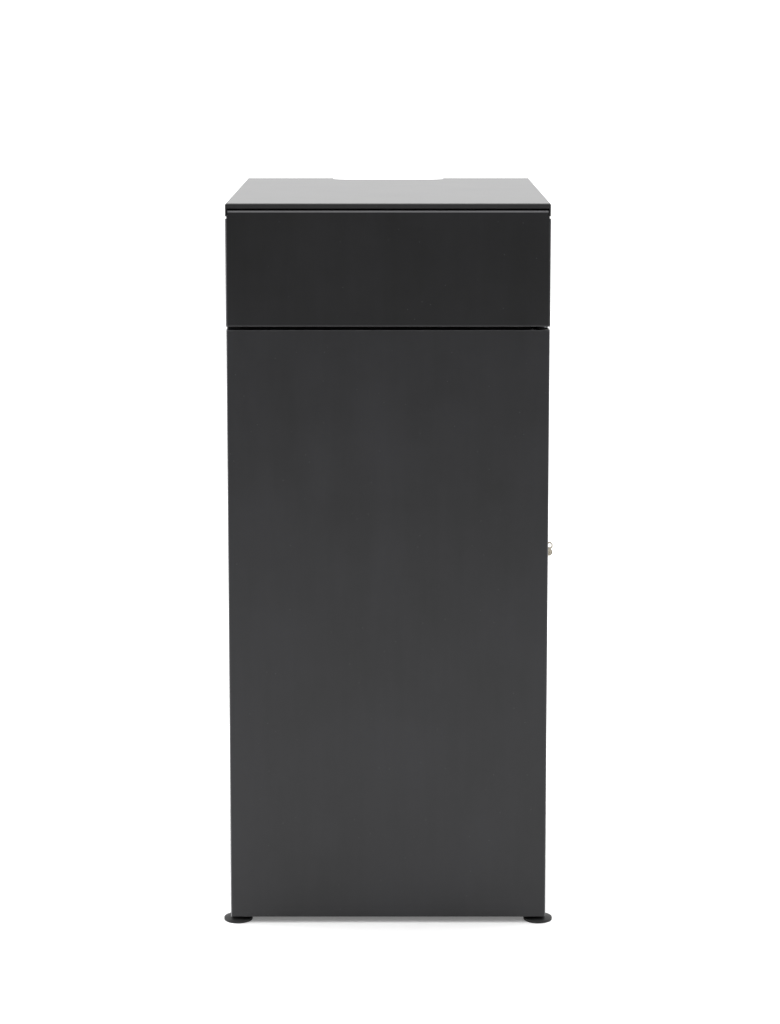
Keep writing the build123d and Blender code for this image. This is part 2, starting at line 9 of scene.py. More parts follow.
# %%
# Load the frame
import json
import math
import bpy
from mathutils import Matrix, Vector


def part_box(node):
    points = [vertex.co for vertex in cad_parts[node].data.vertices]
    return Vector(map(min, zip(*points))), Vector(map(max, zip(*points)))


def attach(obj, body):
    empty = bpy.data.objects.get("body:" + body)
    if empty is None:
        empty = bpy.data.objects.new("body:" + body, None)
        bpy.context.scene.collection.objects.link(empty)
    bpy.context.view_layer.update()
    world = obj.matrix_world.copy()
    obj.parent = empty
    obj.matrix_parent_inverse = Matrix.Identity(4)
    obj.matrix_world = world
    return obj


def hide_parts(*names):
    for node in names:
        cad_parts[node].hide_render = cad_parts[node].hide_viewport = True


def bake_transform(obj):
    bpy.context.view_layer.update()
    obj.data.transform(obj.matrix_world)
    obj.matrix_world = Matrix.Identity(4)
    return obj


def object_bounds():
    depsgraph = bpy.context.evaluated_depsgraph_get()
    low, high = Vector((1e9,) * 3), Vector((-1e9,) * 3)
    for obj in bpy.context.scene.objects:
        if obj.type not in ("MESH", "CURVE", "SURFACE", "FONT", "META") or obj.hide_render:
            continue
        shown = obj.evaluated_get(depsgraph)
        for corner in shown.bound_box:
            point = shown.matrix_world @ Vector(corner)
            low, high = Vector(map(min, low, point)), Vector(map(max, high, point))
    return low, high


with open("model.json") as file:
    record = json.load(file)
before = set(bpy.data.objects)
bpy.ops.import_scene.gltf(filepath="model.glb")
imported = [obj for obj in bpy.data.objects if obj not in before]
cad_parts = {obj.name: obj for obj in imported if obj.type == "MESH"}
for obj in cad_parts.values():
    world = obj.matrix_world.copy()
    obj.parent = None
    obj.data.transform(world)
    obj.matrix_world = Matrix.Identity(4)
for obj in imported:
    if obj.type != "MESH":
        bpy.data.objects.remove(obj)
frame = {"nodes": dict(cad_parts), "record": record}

cad_low, cad_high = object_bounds()
MM = 0.001
print("CAD box", [round(v, 4) for v in cad_low], [round(v, 4) for v in cad_high])

# %% [markdown]
# ## Camera
#
# A studio camera stands a few metres back and a little above the cabinet, with a long lens, so
# that the upright edges stay nearly parallel. The lens is tilted down slightly, and a small upward
# shift of the sensor keeps the rest of the drop from bending the edges inwards.

# %%
# Camera a little above the cap, looking at the middle of the front
front_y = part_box("front_panel")[0].y
camera_distance = 3.701
camera_height = 1.281
camera_data = bpy.data.cameras.new("studio_camera")
camera_data.lens = 94.3
camera_data.shift_y = -0.12
camera = bpy.data.objects.new("studio_camera", camera_data)
bpy.context.collection.objects.link(camera)
camera.location = (0.0028, front_y - camera_distance, camera_height)
camera.rotation_euler = (math.radians(90 - 7.84), 0, 0)
bpy.context.scene.camera = camera
bpy.context.scene.view_settings.view_transform = "Standard"
print("camera", [round(v, 3) for v in camera.location])

# %% [markdown]
# ## Studio
#
# A dark satin box shows mostly what it reflects. A white sweep all round gives the pale even
# reflections, a large soft light overhead lights the floor, and the floor bounces light up the lower
# part of the front. The sweep could be a bent sheet behind the box, but then the box could not be
# seen from every side, so the white all round comes from the world instead.

# %%
# Floor, world and soft lights


def linear(hex_colour):
    """One sRGB hex colour as the linear red, green, blue and alpha that Blender's sockets hold."""
    channels = [int(hex_colour[i:i + 2], 16) / 255 for i in (1, 3, 5)]
    return [c / 12.92 if c <= 0.04045 else ((c + 0.055) / 1.055) ** 2.4 for c in channels] + [1.0]


def add_node(tree, kind, values=None, links=None, **settings):
    """Add one node: settings are its own options, values go to sockets, links come from other nodes."""
    node = tree.nodes.new(kind)
    for name, value in settings.items():
        setattr(node, name, value)
    for socket, value in (values or {}).items():
        node.inputs[socket].default_value = value
    for socket, source in (links or {}).items():
        tree.links.new(source, node.inputs[socket])
    return node


floor_size = 60.0
bpy.ops.object.select_all(action="DESELECT")
bpy.ops.mesh.primitive_plane_add(size=floor_size, location=(0, 0, cad_low.z - 0.0002))
studio_floor = bpy.context.object
studio_floor.name = "studio_floor"

floor_paint = bpy.data.materials.new("white_studio_floor")
floor_paint.use_nodes = True
floor_shader = floor_paint.node_tree.nodes["Principled BSDF"]
floor_tree = floor_paint.node_tree
floor_place = add_node(floor_tree, "ShaderNodeTexCoord").outputs["Object"]
floor_split = add_node(floor_tree, "ShaderNodeSeparateXYZ", links={"Vector": floor_place})
# White sweep under and behind the cabinet, bare concrete further out in front.
floor_sweep = add_node(floor_tree, "ShaderNodeMapRange", {"From Min": -7.0, "From Max": -2.2},
                       {"Value": floor_split.outputs["Y"]})
floor_tone = add_node(floor_tree, "ShaderNodeMix", {"A": linear("#a8a8a8"), "B": linear("#fafafa")},
                      {"Factor": floor_sweep.outputs["Result"]}, data_type="RGBA")
floor_tree.links.new(floor_tone.outputs["Result"], floor_shader.inputs["Base Color"])
floor_shader.inputs["Roughness"].default_value = 0.9
floor_shader.inputs["Specular IOR Level"].default_value = 0.1
# A sweep lit from below, as a product table is, so that hardly any shadow is left under the cabinet.
floor_tree.links.new(floor_tone.outputs["Result"], floor_shader.inputs["Emission Color"])
floor_shader.inputs["Emission Strength"].default_value = 0.18
studio_floor.data.materials.append(floor_paint)

world = bpy.data.worlds.new("white_sweep")
world.use_nodes = True
bpy.context.scene.world = world
sky = world.node_tree
sky_direction = add_node(sky, "ShaderNodeTexCoord")
sky_split = add_node(sky, "ShaderNodeSeparateXYZ", links={"Vector": sky_direction.outputs["Generated"]})
# Dim behind the camera, white behind the cabinet, brightest overhead.
sky_front = add_node(sky, "ShaderNodeMapRange",
                     {"From Min": -0.6, "From Max": 0.5, "To Min": 0.25, "To Max": 1.66},
                     {"Value": sky_split.outputs["Y"]})
sky_height = add_node(sky, "ShaderNodeMapRange",
                      {"From Min": 0.25, "From Max": 0.8, "To Min": 0.0, "To Max": 1.0},
                      {"Value": sky_split.outputs["Z"]})
sky_level = add_node(sky, "ShaderNodeMix", {"B": 1.45},
                     {"Factor": sky_height.outputs["Result"], "A": sky_front.outputs["Result"]})
sky.nodes["Background"].inputs["Color"].default_value = linear("#ffffff")
sky.links.new(sky_level.outputs["Result"], sky.nodes["Background"].inputs["Strength"])


def softbox(name, place, aim, width, height, power):
    """A rectangular studio light that points at a spot."""
    data = bpy.data.lights.new(name, "AREA")
    data.shape = "RECTANGLE"
    data.size = width
    data.size_y = height
    data.energy = power
    lamp = bpy.data.objects.new(name, data)
    bpy.context.collection.objects.link(lamp)
    lamp.location = place
    lamp.rotation_euler = (Vector(aim) - Vector(place)).to_track_quat("-Z", "Y").to_euler()
    return lamp


softbox("overhead_softbox", (0, 0.3, 3.6), (0, 0, 0), 4.0, 4.0, 60)
softbox("left_strip", (-2.4, 0.15, 1.0), (0, 0.15, 0.7), 0.9, 2.4, 34)
softbox("right_strip", (2.6, 0.25, 1.0), (0, 0.25, 0.7), 0.7, 2.2, 12)

# %% [markdown]
# ## Powder coat
#
# The steel is sprayed with anthracite powder and baked, so it has a satin skin about 0.08 mm thick.
# Close up it has a fine orange peel, a millimetre or two across. From further off there are soft
# clouds where the film is thicker, and the odd dust speck. A flat colour would look like plastic,
# so the clouds vary both the colour and the roughness, and the orange peel is a bump.

# %%
# Powder coat material


def new_material(name):
    """An empty node material with its shader."""
    material = bpy.data.materials.new(name)
    material.use_nodes = True
    return material, material.node_tree, material.node_tree.nodes["Principled BSDF"]


FRONT_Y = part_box("front_panel")[0].y
ORANGE_PEEL = 1.6 * MM      # spacing of the ripples in the film
PEEL_HEIGHT = 0.02 * MM     # how deep they are
CLOUD = 160 * MM            # drifts of slightly thicker powder
STREAK = 45 * MM            # faint upright wipe marks
SPECK = 14 * MM             # spacing of dust nibs


def powder_coat(name, dark, light, roughness, gloss=0.42, drift_depth=0.03, bend_highlights=()):
    """Satin powder coat over steel, in two close tones.

    Each bend highlight is an axis, a start, an end and how strongly that bend is painted paler.
    """
    material, tree, shader = new_material(name)
    place = add_node(tree, "ShaderNodeTexCoord").outputs["Object"]
    clouds = add_node(tree, "ShaderNodeTexNoise", {"Scale": 1 / CLOUD, "Detail": 5.0, "Roughness": 0.6},
                      {"Vector": place})
    stretched = add_node(tree, "ShaderNodeMapping", {"Scale": (1, 1, 0.12)}, {"Vector": place})
    streaks = add_node(tree, "ShaderNodeTexNoise", {"Scale": 1 / STREAK, "Detail": 3.0, "Roughness": 0.7},
                       {"Vector": stretched.outputs["Vector"]})
    drift = add_node(tree, "ShaderNodeMix", {"Factor": 0.35},
                     {"A": clouds.outputs["Fac"], "B": streaks.outputs["Fac"]})
    tone = add_node(tree, "ShaderNodeValToRGB", links={"Fac": drift.outputs["Result"]})
    tone.color_ramp.elements[0].position = 0.36
    tone.color_ramp.elements[0].color = linear(dark)
    tone.color_ramp.elements[1].position = 0.64
    tone.color_ramp.elements[1].color = linear(light)
    dust = add_node(tree, "ShaderNodeTexVoronoi", {"Scale": 1 / SPECK}, {"Vector": place})
    nib = add_node(tree, "ShaderNodeMapRange",
                   {"From Min": 0.02, "From Max": 0.05, "To Min": 0.30, "To Max": 0.0},
                   {"Value": dust.outputs["Distance"]})
    speckled = add_node(tree, "ShaderNodeMix", {"B": linear("#6f6f70")},
                        {"Factor": nib.outputs["Result"], "A": tone.outputs["Color"]}, data_type="RGBA")
    colour = speckled.outputs["Result"]
    split = add_node(tree, "ShaderNodeSeparateXYZ", links={"Vector": place})
    # Painted highlight: on the front face, the bends are mixed towards a pale grey that stands in for the
    # light they catch. The flat returns behind them stay as they are.
    at_front = add_node(tree, "ShaderNodeMapRange",
                        {"From Min": FRONT_Y + 2.5 * MM, "From Max": FRONT_Y + 1 * MM},
                        {"Value": split.outputs["Y"]})
    for axis, start, end, highlight_strength in bend_highlights:
        near = add_node(tree, "ShaderNodeMapRange", {"From Min": start, "From Max": end, "To Max": highlight_strength},
                        {"Value": split.outputs[axis]})
        highlight_mask = add_node(tree, "ShaderNodeMath", operation="MULTIPLY",
                          links={0: near.outputs["Result"], 1: at_front.outputs["Result"]})
        painted_highlight = add_node(tree, "ShaderNodeMix", {"B": linear("#a0a0a3")},
                         {"Factor": highlight_mask.outputs["Value"], "A": colour}, data_type="RGBA")
        colour = painted_highlight.outputs["Result"]
    tree.links.new(colour, shader.inputs["Base Color"])
    satin = add_node(tree, "ShaderNodeMapRange", {"From Min": 0.3, "From Max": 0.7,
                     "To Min": roughness - drift_depth, "To Max": roughness + drift_depth},
                     {"Value": drift.outputs["Result"]})
    tree.links.new(satin.outputs["Result"], shader.inputs["Roughness"])
    peel = add_node(tree, "ShaderNodeTexNoise", {"Scale": 1 / ORANGE_PEEL, "Detail": 2.0}, {"Vector": place})
    bump = add_node(tree, "ShaderNodeBump", {"Strength": 0.35, "Distance": PEEL_HEIGHT},
                    {"Height": peel.outputs["Fac"]})
    tree.links.new(bump.outputs["Normal"], shader.inputs["Normal"])
    shader.inputs["IOR"].default_value = 1.5
    shader.inputs["Specular IOR Level"].default_value = gloss
    return material


panel_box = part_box("front_panel")
flap_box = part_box("flap")
BEND = 2.0 * MM
# Painted highlights along the front bends: the left side much paler than the right, as if lit from the left,
# and a bright line on the flap's top bend.
side_bend_highlights = [("X", panel_box[0].x + BEND, panel_box[0].x + 0.3 * BEND, 0.6),
              ("X", panel_box[1].x - BEND, panel_box[1].x - 0.3 * BEND, 0.15)]
panel_bend_highlights = side_bend_highlights + [("Z", panel_box[1].z - BEND, panel_box[1].z, 0.12)]
flap_bend_highlights = side_bend_highlights + [("Z", flap_box[1].z - 2.4 * BEND, flap_box[1].z - 1.4 * BEND, 0.42),
                           ("Z", flap_box[0].z + BEND, flap_box[0].z, 0.12)]
outer_coat = powder_coat("anthracite_powder_coat", "#161617", "#222224", 0.33)
front_coat = powder_coat("front_powder_coat", "#131315", "#1d1d20", 0.33, gloss=0.38, bend_highlights=panel_bend_highlights)
flap_coat = powder_coat("flap_powder_coat", "#0d0d0e", "#161618", 0.36, gloss=0.3, bend_highlights=flap_bend_highlights)
cap_coat = powder_coat("cap_powder_coat", "#161617", "#1c1c1e", 0.33, drift_depth=0.008)
inner_coat = powder_coat("inner_powder_coat", "#161617", "#1f1f20", 0.55)
print("materials", outer_coat.name, front_coat.name, flap_coat.name, cap_coat.name, inner_coat.name)

# %% [markdown]
# ## Small materials
#
# Hinge pins, nuts and brackets are zinc plated, the guide rods are ground steel, the lock is nickel
# plated and the key is nickel-plated brass worn warm at its edges. Bushes are natural nylon, and mat,
# buffers and stops are rubber. A metal differs from paint in that it has no colour under its
# reflections, so metallic is 1 and the finish is in the roughness: blotchy for zinc, fine rings or
# scratches for ground and plated metal. Rubber and plastic have a matte moulded grain.

# %%
# Metals, nylon, rubber


def plated_metal(name, dark, light, roughness, grain, stretch=(1, 1, 1)):
    """Metal whose tone and roughness vary over grains of a real size."""
    material, tree, shader = new_material(name)
    place = add_node(tree, "ShaderNodeTexCoord").outputs["Object"]
    along = add_node(tree, "ShaderNodeMapping", {"Scale": stretch}, {"Vector": place})
    spangle = add_node(tree, "ShaderNodeTexNoise", {"Scale": 1 / grain, "Detail": 4.0},
                       {"Vector": along.outputs["Vector"]})
    tone = add_node(tree, "ShaderNodeValToRGB", links={"Fac": spangle.outputs["Fac"]})
    tone.color_ramp.elements[0].position = 0.35
    tone.color_ramp.elements[0].color = linear(dark)
    tone.color_ramp.elements[1].position = 0.65
    tone.color_ramp.elements[1].color = linear(light)
    tree.links.new(tone.outputs["Color"], shader.inputs["Base Color"])
    rough = add_node(tree, "ShaderNodeMapRange", {"To Min": roughness - 0.06, "To Max": roughness + 0.10},
                     {"Value": spangle.outputs["Fac"]})
    tree.links.new(rough.outputs["Result"], shader.inputs["Roughness"])
    bump = add_node(tree, "ShaderNodeBump", {"Strength": 0.2, "Distance": 0.00002},
                    {"Height": spangle.outputs["Fac"]})
    tree.links.new(bump.outputs["Normal"], shader.inputs["Normal"])
    shader.inputs["Metallic"].default_value = 1.0
    return material


def moulded_grain(name, dark, light, roughness, grain, depth):
    """Moulded plastic or rubber with a fine sprayed-sand texture from its mould."""
    material, tree, shader = new_material(name)
    place = add_node(tree, "ShaderNodeTexCoord").outputs["Object"]
    sand = add_node(tree, "ShaderNodeTexNoise", {"Scale": 1 / grain, "Detail": 3.0}, {"Vector": place})
    scuffs = add_node(tree, "ShaderNodeTexNoise", {"Scale": 1 / (30 * grain), "Detail": 4.0},
                      {"Vector": place})
    tone = add_node(tree, "ShaderNodeValToRGB", links={"Fac": scuffs.outputs["Fac"]})
    tone.color_ramp.elements[0].position = 0.4
    tone.color_ramp.elements[0].color = linear(dark)
    tone.color_ramp.elements[1].position = 0.7
    tone.color_ramp.elements[1].color = linear(light)
    tree.links.new(tone.outputs["Color"], shader.inputs["Base Color"])
    shader.inputs["Roughness"].default_value = roughness
    shader.inputs["IOR"].default_value = 1.5
    bump = add_node(tree, "ShaderNodeBump", {"Strength": 0.4, "Distance": depth},
                    {"Height": sand.outputs["Fac"]})
    tree.links.new(bump.outputs["Normal"], shader.inputs["Normal"])
    return material


zinc_plate = plated_metal("zinc_plated_steel", "#8f9296", "#b4b6b8", 0.38, 3 * MM)
ground_steel = plated_metal("ground_steel", "#a3a4a6", "#c6c7c8", 0.22, 0.6 * MM, (1, 1, 0.05))
nickel_plate = plated_metal("nickel_plate", "#aaa69e", "#c9c5bc", 0.25, 1.2 * MM)
worn_brass = plated_metal("nickel_plated_brass", "#8c8474", "#c3bcae", 0.34, 2.5 * MM)
natural_nylon = moulded_grain("natural_nylon", "#cfcdc2", "#dcdad0", 0.5, 0.8 * MM, 0.00003)
black_rubber = moulded_grain("black_rubber", "#161616", "#232323", 0.75, 0.7 * MM, 0.00005)
glide_plastic = moulded_grain("black_moulded_nylon", "#070707", "#0e0e0e", 0.62, 0.6 * MM, 0.00003)

slot_material = {
    "powder_coat": outer_coat,
    "inner_coat": inner_coat,
    "zinc_steel": zinc_plate,
    "bright_steel": ground_steel,
    "nickel": nickel_plate,
    "key_brass": worn_brass,
    "nylon": natural_nylon,
    "rubber": black_rubber,
    "glide_plastic": glide_plastic,
}
node_slot = {entry["node"]: entry["material_slot"] for entry in frame["record"]["subparts"]}
for node_name, node_object in frame["nodes"].items():
    node_object.data.materials.clear()
    node_object.data.materials.append(slot_material[node_slot[node_name]])
print("painted", len(frame["nodes"]), "CAD nodes")

# %% [markdown]
# ## Folded sheets
#
# The cap, the flap and the front panel are blanks cut flat, notched at the corners and folded in a
# press brake. The fold stretches the steel round a radius a little larger than its thickness, and
# that soft bend is what catches the light along every edge. Each one starts as a block of its outer
# size. The edges of its face are bevelled to the bend radius, the open sides are deleted, and
# Solidify gives the skin its thickness inwards, so the outside keeps its exact size.

# %%
# Helpers for folded sheets
SHEET = 1.5 * MM
FOLD = 2.5 * MM             # outside radius of an ordinary fold
FOLD_DOOR = 3 * MM
BEND_STEPS = 6
NEAR = 0.1 * MM             # how close counts as lying on a face
CLEAR = 10 * MM             # how far a cutter sticks out past the sheet


def start_block(name, low, high):
    """A block between two corners, active in object mode, with its place in its mesh."""
    bpy.ops.object.select_all(action="DESELECT")
    bpy.ops.mesh.primitive_cube_add(size=1, location=(Vector(low) + Vector(high)) / 2)
    block = bpy.context.object
    block.name = name
    block.data.name = name
    block.scale = Vector(high) - Vector(low)
    bpy.ops.object.transform_apply(location=True, rotation=True, scale=True)
    return block


def select_edges(block, wanted):
    """In edit mode, select only the edges whose two ends both pass a test."""
    bpy.ops.object.mode_set(mode="EDIT")
    bpy.ops.mesh.select_mode(type="EDGE")
    bpy.ops.mesh.select_all(action="DESELECT")
    bpy.ops.object.mode_set(mode="OBJECT")
    for edge in block.data.edges:
        ends = [block.data.vertices[i].co for i in edge.vertices]
        edge.select = all(wanted(end) for end in ends)
    bpy.ops.object.mode_set(mode="EDIT")


def select_faces(block, wanted):
    """In edit mode, select only the faces whose centre and normal pass a test."""
    bpy.ops.object.mode_set(mode="EDIT")
    bpy.ops.mesh.select_mode(type="FACE")
    bpy.ops.mesh.select_all(action="DESELECT")
    bpy.ops.object.mode_set(mode="OBJECT")
    for face in block.data.polygons:
        face.select = wanted(face.center, face.normal)
    bpy.ops.object.mode_set(mode="EDIT")


def finish_sheet(block, thickness):
    """Leave edit mode and give the skin its thickness inwards."""
    bpy.ops.object.mode_set(mode="OBJECT")
    wall = block.modifiers.new("sheet_thickness", "SOLIDIFY")
    wall.thickness = thickness
    wall.offset = -1
    wall.use_even_offset = True
    bpy.ops.object.modifier_apply(modifier=wall.name)


def smooth_bends(block):
    """Shade the bends round and keep the flats flat: big faces decide the normals at their edges."""
    bpy.ops.object.select_all(action="DESELECT")
    block.select_set(True)
    bpy.context.view_layer.objects.active = block
    bpy.ops.object.shade_smooth_by_angle(angle=math.radians(40))
    flats = block.modifiers.new("flat_faces", "WEIGHTED_NORMAL")
    flats.keep_sharp = True
    flats.weight = 100
    bpy.ops.object.modifier_apply(modifier=flats.name)


def cut_with(block, cutter, operation="DIFFERENCE"):
    """Cut a sheet with a second piece, or weld that piece on, and clear the second piece away."""
    bpy.ops.object.select_all(action="DESELECT")
    block.select_set(True)
    bpy.context.view_layer.objects.active = block
    cut = block.modifiers.new("cut", "BOOLEAN")
    cut.operation = operation
    cut.solver = "EXACT"
    cut.object = cutter
    bpy.ops.object.modifier_apply(modifier=cut.name)
    bpy.data.objects.remove(cutter, do_unlink=True)


def cut_away(block, low, high):
    """Cut a rectangular piece out of a sheet, as the shear does before folding."""
    cut_with(block, start_block("cutter", low, high))


def round_bar(name, centre, radius, length, axis):
    """A short round bar along one axis, with its place in its mesh."""
    turn = {"X": (0, math.radians(90), 0), "Y": (math.radians(90), 0, 0), "Z": (0, 0, 0)}[axis]
    bpy.ops.object.select_all(action="DESELECT")
    bpy.ops.mesh.primitive_cylinder_add(vertices=64, radius=radius, depth=length,
                                        location=centre, rotation=turn)
    bar = bpy.context.object
    bar.name = name
    bpy.ops.object.transform_apply(location=True, rotation=True, scale=True)
    return bar


def finish_piece(piece, material, replaced, body):
    """Give a finished piece its material, the node it stands for and the body it rides on."""
    piece.data.materials.clear()
    piece.data.materials.append(material)
    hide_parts(replaced)
    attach(piece, body)
    print(piece.name, [round(v / MM, 1) for v in piece.dimensions], len(piece.data.polygons), "faces")


# %% [markdown]
# ### Front panel
#
# The front panel is one tall pan. It is open at the back, and at the bottom, where the base tray
# slides in behind it.

# %%
# Front panel
panel_low, panel_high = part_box("front_panel")
front_panel = start_block("front_panel_sheet", panel_low, panel_high)
select_edges(front_panel, lambda p: p.y < panel_low.y + NEAR and p.z > panel_low.z - 1)
bpy.ops.mesh.bevel(offset=FOLD, segments=BEND_STEPS, affect="EDGES")
select_faces(front_panel, lambda c, n: n.y > 0.9)
bpy.ops.mesh.delete(type="FACE")
select_faces(front_panel, lambda c, n: n.z < -0.95)
bpy.ops.mesh.delete(type="FACE")
finish_sheet(front_panel, SHEET)
smooth_bends(front_panel)
finish_piece(front_panel, front_coat, "front_panel", "cabinet")

# %% [markdown]
# ### Flap
#
# The flap turns about the middle of its own top bend, so that bend has a larger radius than the
# others. Its top corners are notched to pass between the skirts of the cap, and its top and bottom
# returns are a little shorter than its sides.

# %%
# Flap
flap_low, flap_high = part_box("flap")
TOP_BEND = 5.5 * MM
SHOULDER = 12.5 * MM           # height of the corner notches
SHOULDER_IN = 3.45 * MM        # width of the corner notches
SIDE_NOTCH = 21.5 * MM         # the side returns start this far down
SHORT_RETURN = 15 * MM         # depth of the top and bottom returns
RETURN_IN = 2.25 * MM          # the short returns stop this far from the sides
flap = start_block("flap_sheet", flap_low, flap_high)
select_edges(flap, lambda p: p.y < flap_low.y + NEAR and p.z > flap_high.z - NEAR)
bpy.ops.mesh.bevel(offset=TOP_BEND, segments=8, affect="EDGES")
select_edges(flap, lambda p: p.y < flap_low.y + NEAR and p.z < flap_low.z + NEAR)
bpy.ops.mesh.bevel(offset=FOLD, segments=BEND_STEPS, affect="EDGES")
select_faces(flap, lambda c, n: n.y > 0.9)
bpy.ops.mesh.delete(type="FACE")
finish_sheet(flap, SHEET)
for side in (-1, 1):
    corner = side * (flap_high.x - SHOULDER_IN)
    outside = side * (flap_high.x + CLEAR)
    left, right = sorted((corner, outside))
    cut_away(flap, (left, flap_low.y - CLEAR, flap_high.z - SHOULDER), (right, 0, flap_high.z + CLEAR))
    cut_away(flap, (left, flap_low.y + SHEET, flap_high.z - SIDE_NOTCH), (right, 0, flap_high.z + CLEAR))
inner_x = flap_high.x - RETURN_IN
cut_away(flap, (-inner_x, flap_low.y + SHORT_RETURN, flap_low.z - CLEAR), (inner_x, 0, flap_high.z + CLEAR))
smooth_bends(flap)
finish_piece(flap, flap_coat, "flap", "flap")

# %% [markdown]
# ### Cap
#
# The cap is a lid folded down on all sides from 2 mm steel. Its front skirt is shallow, so that the
# flap can swing up in front of it, and at the back a notch with large round corners lets cables
# through. The notch is cut with a block whose two inner corners are bevelled to that radius.

# %%
# Cap
CAP_SHEET = 2.0 * MM
FRONT_SKIRT = 7.0 * MM
NOTCH_WIDTH = 176 * MM
NOTCH_DEPTH = 42 * MM
NOTCH_CORNER = 27 * MM
cap_low, cap_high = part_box("cap")
cap = start_block("cap_sheet", cap_low, cap_high)
select_edges(cap, lambda p: p.z > cap_high.z - NEAR)
bpy.ops.mesh.bevel(offset=FOLD, segments=BEND_STEPS, affect="EDGES")
select_faces(cap, lambda c, n: n.z < -0.95)
bpy.ops.mesh.delete(type="FACE")
finish_sheet(cap, CAP_SHEET)
cut_away(cap, (cap_low.x + CAP_SHEET, cap_low.y - 0.001, cap_low.z - 0.001),
         (cap_high.x - CAP_SHEET, cap_low.y + CAP_SHEET, cap_high.z - FRONT_SKIRT))
notch_low = Vector((-NOTCH_WIDTH / 2, cap_high.y - NOTCH_DEPTH, cap_low.z - 0.001))
notch_high = Vector((NOTCH_WIDTH / 2, cap_high.y + 0.001, cap_high.z + 0.001))
notch = start_block("notch", notch_low, notch_high)
for side in (-1, 1):
    select_edges(notch, lambda p: p.y < notch_low.y + NEAR and p.x * side > NOTCH_WIDTH / 2 - NEAR)
    bpy.ops.mesh.bevel(offset=NOTCH_CORNER, segments=16, affect="EDGES")
bpy.ops.object.mode_set(mode="OBJECT")
cut_with(cap, notch)
smooth_bends(cap)
finish_piece(cap, cap_coat, "cap", "cabinet")

# %% [markdown]
# ### Side walls
#
# The left wall and the panel above the door are pans like the front, but only their upright corners
# are folded round, because their ends lie under the cap and the tray. Below the top of the base
# tray the left wall is a single skin, so the inside of the fold is cut off there.

# %%
# Left wall and upper right panel
def side_sheet(name, node, outward):
    """A side wall: an upright skin with its corners folded inwards, open on the inside."""
    low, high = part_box(node)
    outer_x = high.x if outward > 0 else low.x
    sheet = start_block(name, low, high)
    for end_y in (low.y, high.y):
        select_edges(sheet, lambda p: abs(p.x - outer_x) < NEAR and abs(p.y - end_y) < NEAR)
        bpy.ops.mesh.bevel(offset=FOLD, segments=BEND_STEPS, affect="EDGES")
    select_faces(sheet, lambda c, n: n.x * outward < -0.95)
    bpy.ops.mesh.delete(type="FACE")
    finish_sheet(sheet, SHEET)
    return sheet, low, high


left_wall, wall_low, wall_high = side_sheet("left_wall_sheet", "left_side_panel", -1)
TRAY_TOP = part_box("base_tray")[1].z + 0.2 * MM
cut_away(left_wall, (wall_low.x + SHEET, wall_low.y - 0.02, -0.01), (0, wall_high.y - SHEET, TRAY_TOP))
smooth_bends(left_wall)
finish_piece(left_wall, outer_coat, "left_side_panel", "cabinet")

upper_right, _, _ = side_sheet("upper_right_sheet", "upper_right_panel", 1)
smooth_bends(upper_right)
finish_piece(upper_right, outer_coat, "upper_right_panel", "cabinet")

# %% [markdown]
# ### Side door
#
# The door is a pan with returns on all four sides, folded to a slightly larger radius. It is drilled
# for its pivot pins and for the lock, so both go through real holes.

# %%
# Side door
door_low, door_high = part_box("door_panel")
door = start_block("side_door_sheet", door_low, door_high)
select_edges(door, lambda p: p.x > door_high.x - NEAR)
bpy.ops.mesh.bevel(offset=FOLD_DOOR, segments=BEND_STEPS, affect="EDGES")
select_faces(door, lambda c, n: n.x < -0.95)
bpy.ops.mesh.delete(type="FACE")
finish_sheet(door, SHEET)
pin_low, pin_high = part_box("door_pivot_pins")
pin_centre = (pin_low + pin_high) / 2
pin_r = (pin_high.x - pin_low.x) / 2
cut_with(door, round_bar("pivot_drill", pin_centre, pin_r + 0.02 * MM, 2 * pin_centre.z, "Z"))
plug_low, plug_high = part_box("lock_plug")
lock_centre = (plug_low + plug_high) / 2
LOCK_HOLE_R = 9.05 * MM
lock_hole = Vector((door_high.x, lock_centre.y, lock_centre.z))
cut_with(door, round_bar("lock_drill", lock_hole, LOCK_HOLE_R, 10 * MM, "X"))
smooth_bends(door)
finish_piece(door, outer_coat, "door_panel", "side_door")

# %% [markdown]
# ### Key
#
# The key is stamped from 2.2 mm nickel-plated brass: a plain strip for a blade, and a bow of two round
# lobes, the upper one pierced for a split ring. The blanking die leaves a softened edge, which is
# what glints, so the outline is welded from bars and blocks first and then bevelled all round.

# %%
# Key
BOW_R = 5.9 * MM
RING_HOLE_R = 3.2 * MM
key_low, key_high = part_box("key")
key_mid_y = (key_low.y + key_high.y) / 2
key_thick = key_high.y - key_low.y
upper_lobe = Vector((key_high.x - BOW_R, key_mid_y, key_high.z - BOW_R))
lower_lobe = Vector((upper_lobe.x - 0.5 * MM, key_mid_y, key_low.z + BOW_R))
key = round_bar("key_blank", upper_lobe, BOW_R, key_thick, "Y")
cut_with(key, round_bar("lobe", lower_lobe, BOW_R, key_thick, "Y"), "UNION")
# Blade, shank and collar, each from one X to another and so high above and below the middle.
for start, end, half_high in ((key_low.x, 240 * MM, 4 * MM), (236 * MM, 250 * MM, 6 * MM),
                              (242 * MM, 254 * MM, 7.5 * MM)):
    strip = start_block("strip", (start, key_low.y, lock_centre.z - half_high),
                        (end, key_high.y, lock_centre.z + half_high))
    cut_with(key, strip, "UNION")
ring_hole = upper_lobe + Vector((0.7 * MM, 0, 0.2 * MM))
cut_with(key, round_bar("ring_drill", ring_hole, RING_HOLE_R, 10 * MM, "Y"))
edge = key.modifiers.new("softened_edge", "BEVEL")
edge.width = 0.35 * MM
edge.segments = 3
edge.limit_method = "ANGLE"
edge.angle_limit = math.radians(50)
bpy.ops.object.modifier_apply(modifier=edge.name)
bpy.ops.object.shade_smooth_by_angle(angle=math.radians(40))
finish_piece(key, worn_brass, "key", "lock")

# %% [markdown]
# ### Ribbed mat
#
# The mat on the platform keeps books from sliding. It is moulded rubber with a row of low ribs. One
# rib is modelled with round shoulders and repeated at the ribs' pitch by an Array modifier.

